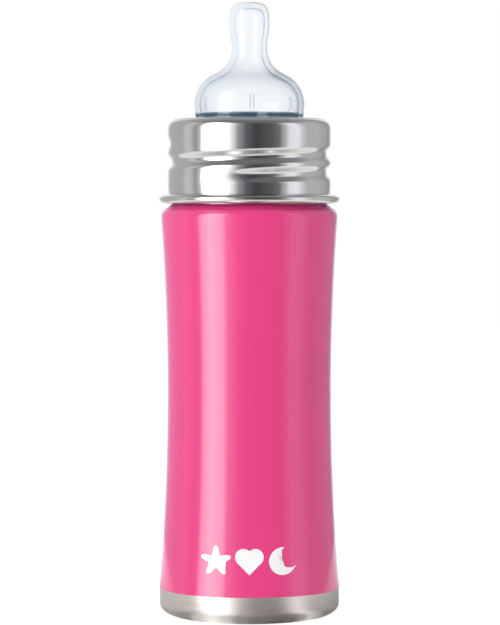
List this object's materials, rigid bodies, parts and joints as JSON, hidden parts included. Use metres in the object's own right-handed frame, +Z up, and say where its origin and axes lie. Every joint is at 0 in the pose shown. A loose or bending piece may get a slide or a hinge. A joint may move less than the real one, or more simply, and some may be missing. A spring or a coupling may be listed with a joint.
{
  "type": "baby bottle",
  "caption": "Double-walled steel baby bottle, waisted and painted, with a bare base, a screw collar on a rolled thread and a clear silicone teat.",
  "frame": {"origin": "centre of the foot ring, on the surface the bottle stands on", "axes": "+Z up along the bottle's axis to the teat's tip; -Y is the front, with the printed mark"},
  "size_m": [0.0594, 0.0594, 0.2007],
  "materials": {
    "pink_paint": "gloss pink paint",
    "white_print": "satin white ink",
    "satin_steel": "brushed around the axis",
    "shell_steel": "mill finish under the paint",
    "liner_steel": "electropolished",
    "polished_steel": "polished, with fine turning lines",
    "clear_silicone": "clear smooth silicone",
    "getter_metal": "matt sintered metal",
    "seal_glass": "dull solder glass"
  },
  "bodies": {
    "bottle": {"outer_shell": "shell_steel", "base_cup": "satin_steel", "inner_liner": "liner_steel", "vacuum_getter": "getter_metal", "vacuum_seal": "seal_glass", "neck_thread": "liner_steel", "colour_coat": "pink_paint", "printed_mark": "white_print"},
    "teat": {"teat": "clear_silicone"},
    "collar": {"collar": "polished_steel"}
  },
  "joints": [
    {"name": "teat_lift", "type": "slide", "parent": "bottle", "child": "teat", "axis": [0, 0, 1], "range_m": [0, 0.009]},
    {"name": "collar_turn", "type": "hinge", "parent": "teat", "child": "collar", "pos_m": [0, 0, 0], "axis": [0, 0, 1], "range_deg": [0, 540]}
  ],
  "couplings": [
    {"joint": "teat_lift", "follows": "collar_turn", "m_per_rad": 0.00095493}
  ]
}
